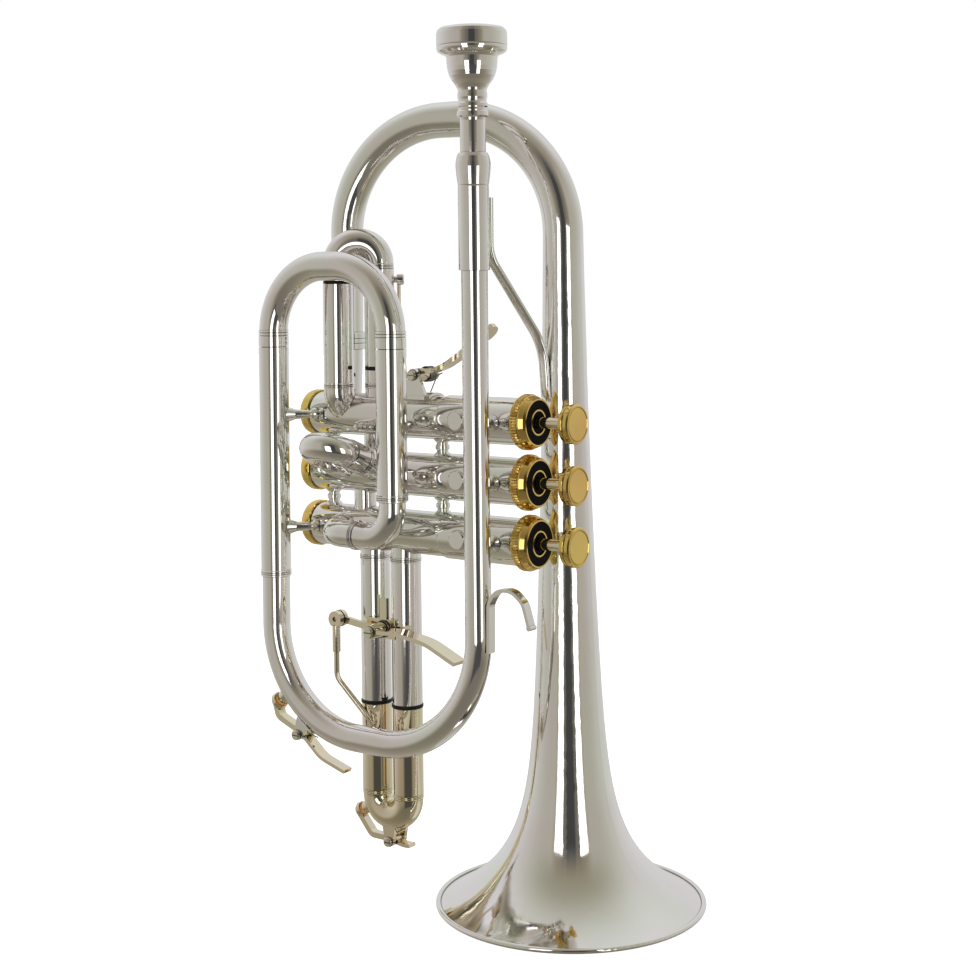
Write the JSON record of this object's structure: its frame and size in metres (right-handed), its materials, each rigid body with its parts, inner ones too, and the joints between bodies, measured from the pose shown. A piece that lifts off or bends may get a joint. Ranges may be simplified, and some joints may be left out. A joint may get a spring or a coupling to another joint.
{
  "type": "shepherd's crook cornet",
  "caption": "Silver-plated piston-valve cornet with a shepherd's-crook bell, working valves, pull slides, slide triggers and water keys.",
  "frame": {"origin": "centre of the bell's mouth, on the flat of its rim", "axes": "+Z along the bell's axis, away from the mouth and towards the mouthpiece; +X along the valves towards the finger buttons; -Y from the bell to the leadpipe"},
  "size_m": [0.2002, 0.1271, 0.3872],
  "materials": {
    "silver_plate": "polished silver plate on brass",
    "warm_silver_plate": "polished silver plate with a warm tint, on brass",
    "gold_plate": "polished gold plate",
    "black_felt": "matte felt",
    "black_rubber": "satin rubber",
    "cork": "matte cork",
    "guide_metal": "plain brass",
    "piston_metal": "honed nickel alloy",
    "spring_steel": "bright steel"
  },
  "bodies": {
    "horn": {"bell_crook": "silver_plate", "bell_flare": "silver_plate", "bell_rim": "silver_plate", "bell_tail": "silver_plate", "bell_tail_ferrule": "silver_plate", "bottom_bow": "silver_plate", "bottom_caps": "gold_plate", "bow_braces": "silver_plate", "cap_felts": "black_felt", "casing_balusters": "silver_plate", "crook_brace": "silver_plate", "crossover_tubes": "silver_plate", "finger_hook": "silver_plate", "first_slide_outer_tubes": "silver_plate", "inlet_elbow": "silver_plate", "leadpipe": "silver_plate", "leadpipe_braces": "silver_plate", "mouthpiece_receiver": "silver_plate", "pivot_screws": "spring_steel", "second_slide_outer_tubes": "silver_plate", "third_slide_outer_tubes": "silver_plate", "top_caps": "gold_plate", "trigger_1_bracket": "silver_plate", "trigger_3_bracket": "warm_silver_plate", "tuning_outer_tubes": "silver_plate", "valve_casing_1": "silver_plate", "valve_casing_2": "silver_plate", "valve_casing_3": "silver_plate", "valve_guides": "guide_metal", "valve_spring_1": "spring_steel", "valve_spring_2": "spring_steel", "valve_spring_3": "spring_steel", "water_key_1_mounts": "silver_plate"},
    "piston_1": {"piston_1": "piston_metal", "valve_stem_1": "warm_silver_plate", "finger_button_1": "gold_plate"},
    "piston_2": {"piston_2": "piston_metal", "valve_stem_2": "warm_silver_plate", "finger_button_2": "gold_plate"},
    "piston_3": {"piston_3": "piston_metal", "valve_stem_3": "warm_silver_plate", "finger_button_3": "gold_plate"},
    "tuning_slide": {"main_tuning_slide": "silver_plate"},
    "first_slide": {"first_slide": "silver_plate", "first_slide_bumpers": "black_rubber", "trigger_1_rod": "warm_silver_plate"},
    "second_slide": {"second_slide": "silver_plate"},
    "third_slide": {"third_slide": "warm_silver_plate", "third_slide_bumpers": "black_rubber", "trigger_3_rod": "warm_silver_plate", "water_key_2_mounts": "warm_silver_plate", "water_key_2_screw": "spring_steel"},
    "trigger_1": {"trigger_1_lever": "warm_silver_plate"},
    "trigger_3": {"trigger_3_lever": "warm_silver_plate"},
    "water_key_1": {"water_key_1_lever": "warm_silver_plate", "water_key_1_cork": "cork"},
    "water_key_2": {"water_key_2_lever": "warm_silver_plate", "water_key_2_cork": "cork"},
    "mouthpiece": {"mouthpiece": "silver_plate"}
  },
  "joints": [
    {"name": "valve_1_press", "type": "slide", "parent": "horn", "child": "piston_1", "axis": [-1, 0, 0], "range_m": [0, 0.0144], "stiffness_N_per_m": 150, "springref_m": -0.018, "deforming": ["valve_spring_1"]},
    {"name": "valve_2_press", "type": "slide", "parent": "horn", "child": "piston_2", "axis": [-1, 0, 0], "range_m": [0, 0.0144], "stiffness_N_per_m": 150, "springref_m": -0.018, "deforming": ["valve_spring_2"]},
    {"name": "valve_3_press", "type": "slide", "parent": "horn", "child": "piston_3", "axis": [-1, 0, 0], "range_m": [0, 0.0144], "stiffness_N_per_m": 150, "springref_m": -0.018, "deforming": ["valve_spring_3"]},
    {"name": "tuning_slide_pull", "type": "slide", "parent": "horn", "child": "tuning_slide", "axis": [0, 0, 1], "range_m": [0, 0.02]},
    {"name": "trigger_1_turn", "type": "hinge", "parent": "horn", "child": "trigger_1", "pos_m": [-0.063, -0.0247, 0.2354], "axis": [0, 1, 0], "range_deg": [0, 28.65], "stiffness_Nm_per_rad": 0.05, "springref_deg": -28.65},
    {"name": "first_slide_pull", "type": "slide", "parent": "horn", "child": "first_slide", "axis": [0, 0, 1], "range_m": [0, 0.0091]},
    {"name": "second_slide_pull", "type": "slide", "parent": "horn", "child": "second_slide", "axis": [0, -0.9272, 0.3746], "range_m": [0, 0.008]},
    {"name": "trigger_3_turn", "type": "hinge", "parent": "horn", "child": "trigger_3", "pos_m": [-0.0802, -0.0378, 0.1185], "axis": [0, -1, 0], "range_deg": [0, 26.71], "stiffness_Nm_per_rad": 0.06, "springref_deg": -45.84},
    {"name": "third_slide_pull", "type": "slide", "parent": "horn", "child": "third_slide", "axis": [0, 0, -1], "range_m": [0, 0.0111]},
    {"name": "water_key_1_open", "type": "hinge", "parent": "horn", "child": "water_key_1", "pos_m": [-0.1159, -0.0471, 0.069], "axis": [0, -1, 0], "range_deg": [0, 18], "stiffness_Nm_per_rad": 0.02, "springref_deg": -28.65},
    {"name": "water_key_2_open", "type": "hinge", "parent": "third_slide", "child": "water_key_2", "pos_m": [-0.0803, -0.0247, 0.02], "axis": [0, -1, 0], "range_deg": [0, 18], "stiffness_Nm_per_rad": 0.02, "springref_deg": -28.65},
    {"name": "mouthpiece_pull", "type": "slide", "parent": "horn", "child": "mouthpiece", "axis": [0, 0, 1], "range_m": [0, 0.04]}
  ],
  "couplings": [
    {"joint": "first_slide_pull", "follows": "trigger_1_turn", "m_per_rad": 0.018},
    {"joint": "third_slide_pull", "follows": "trigger_3_turn", "m_per_rad": 0.0236}
  ]
}
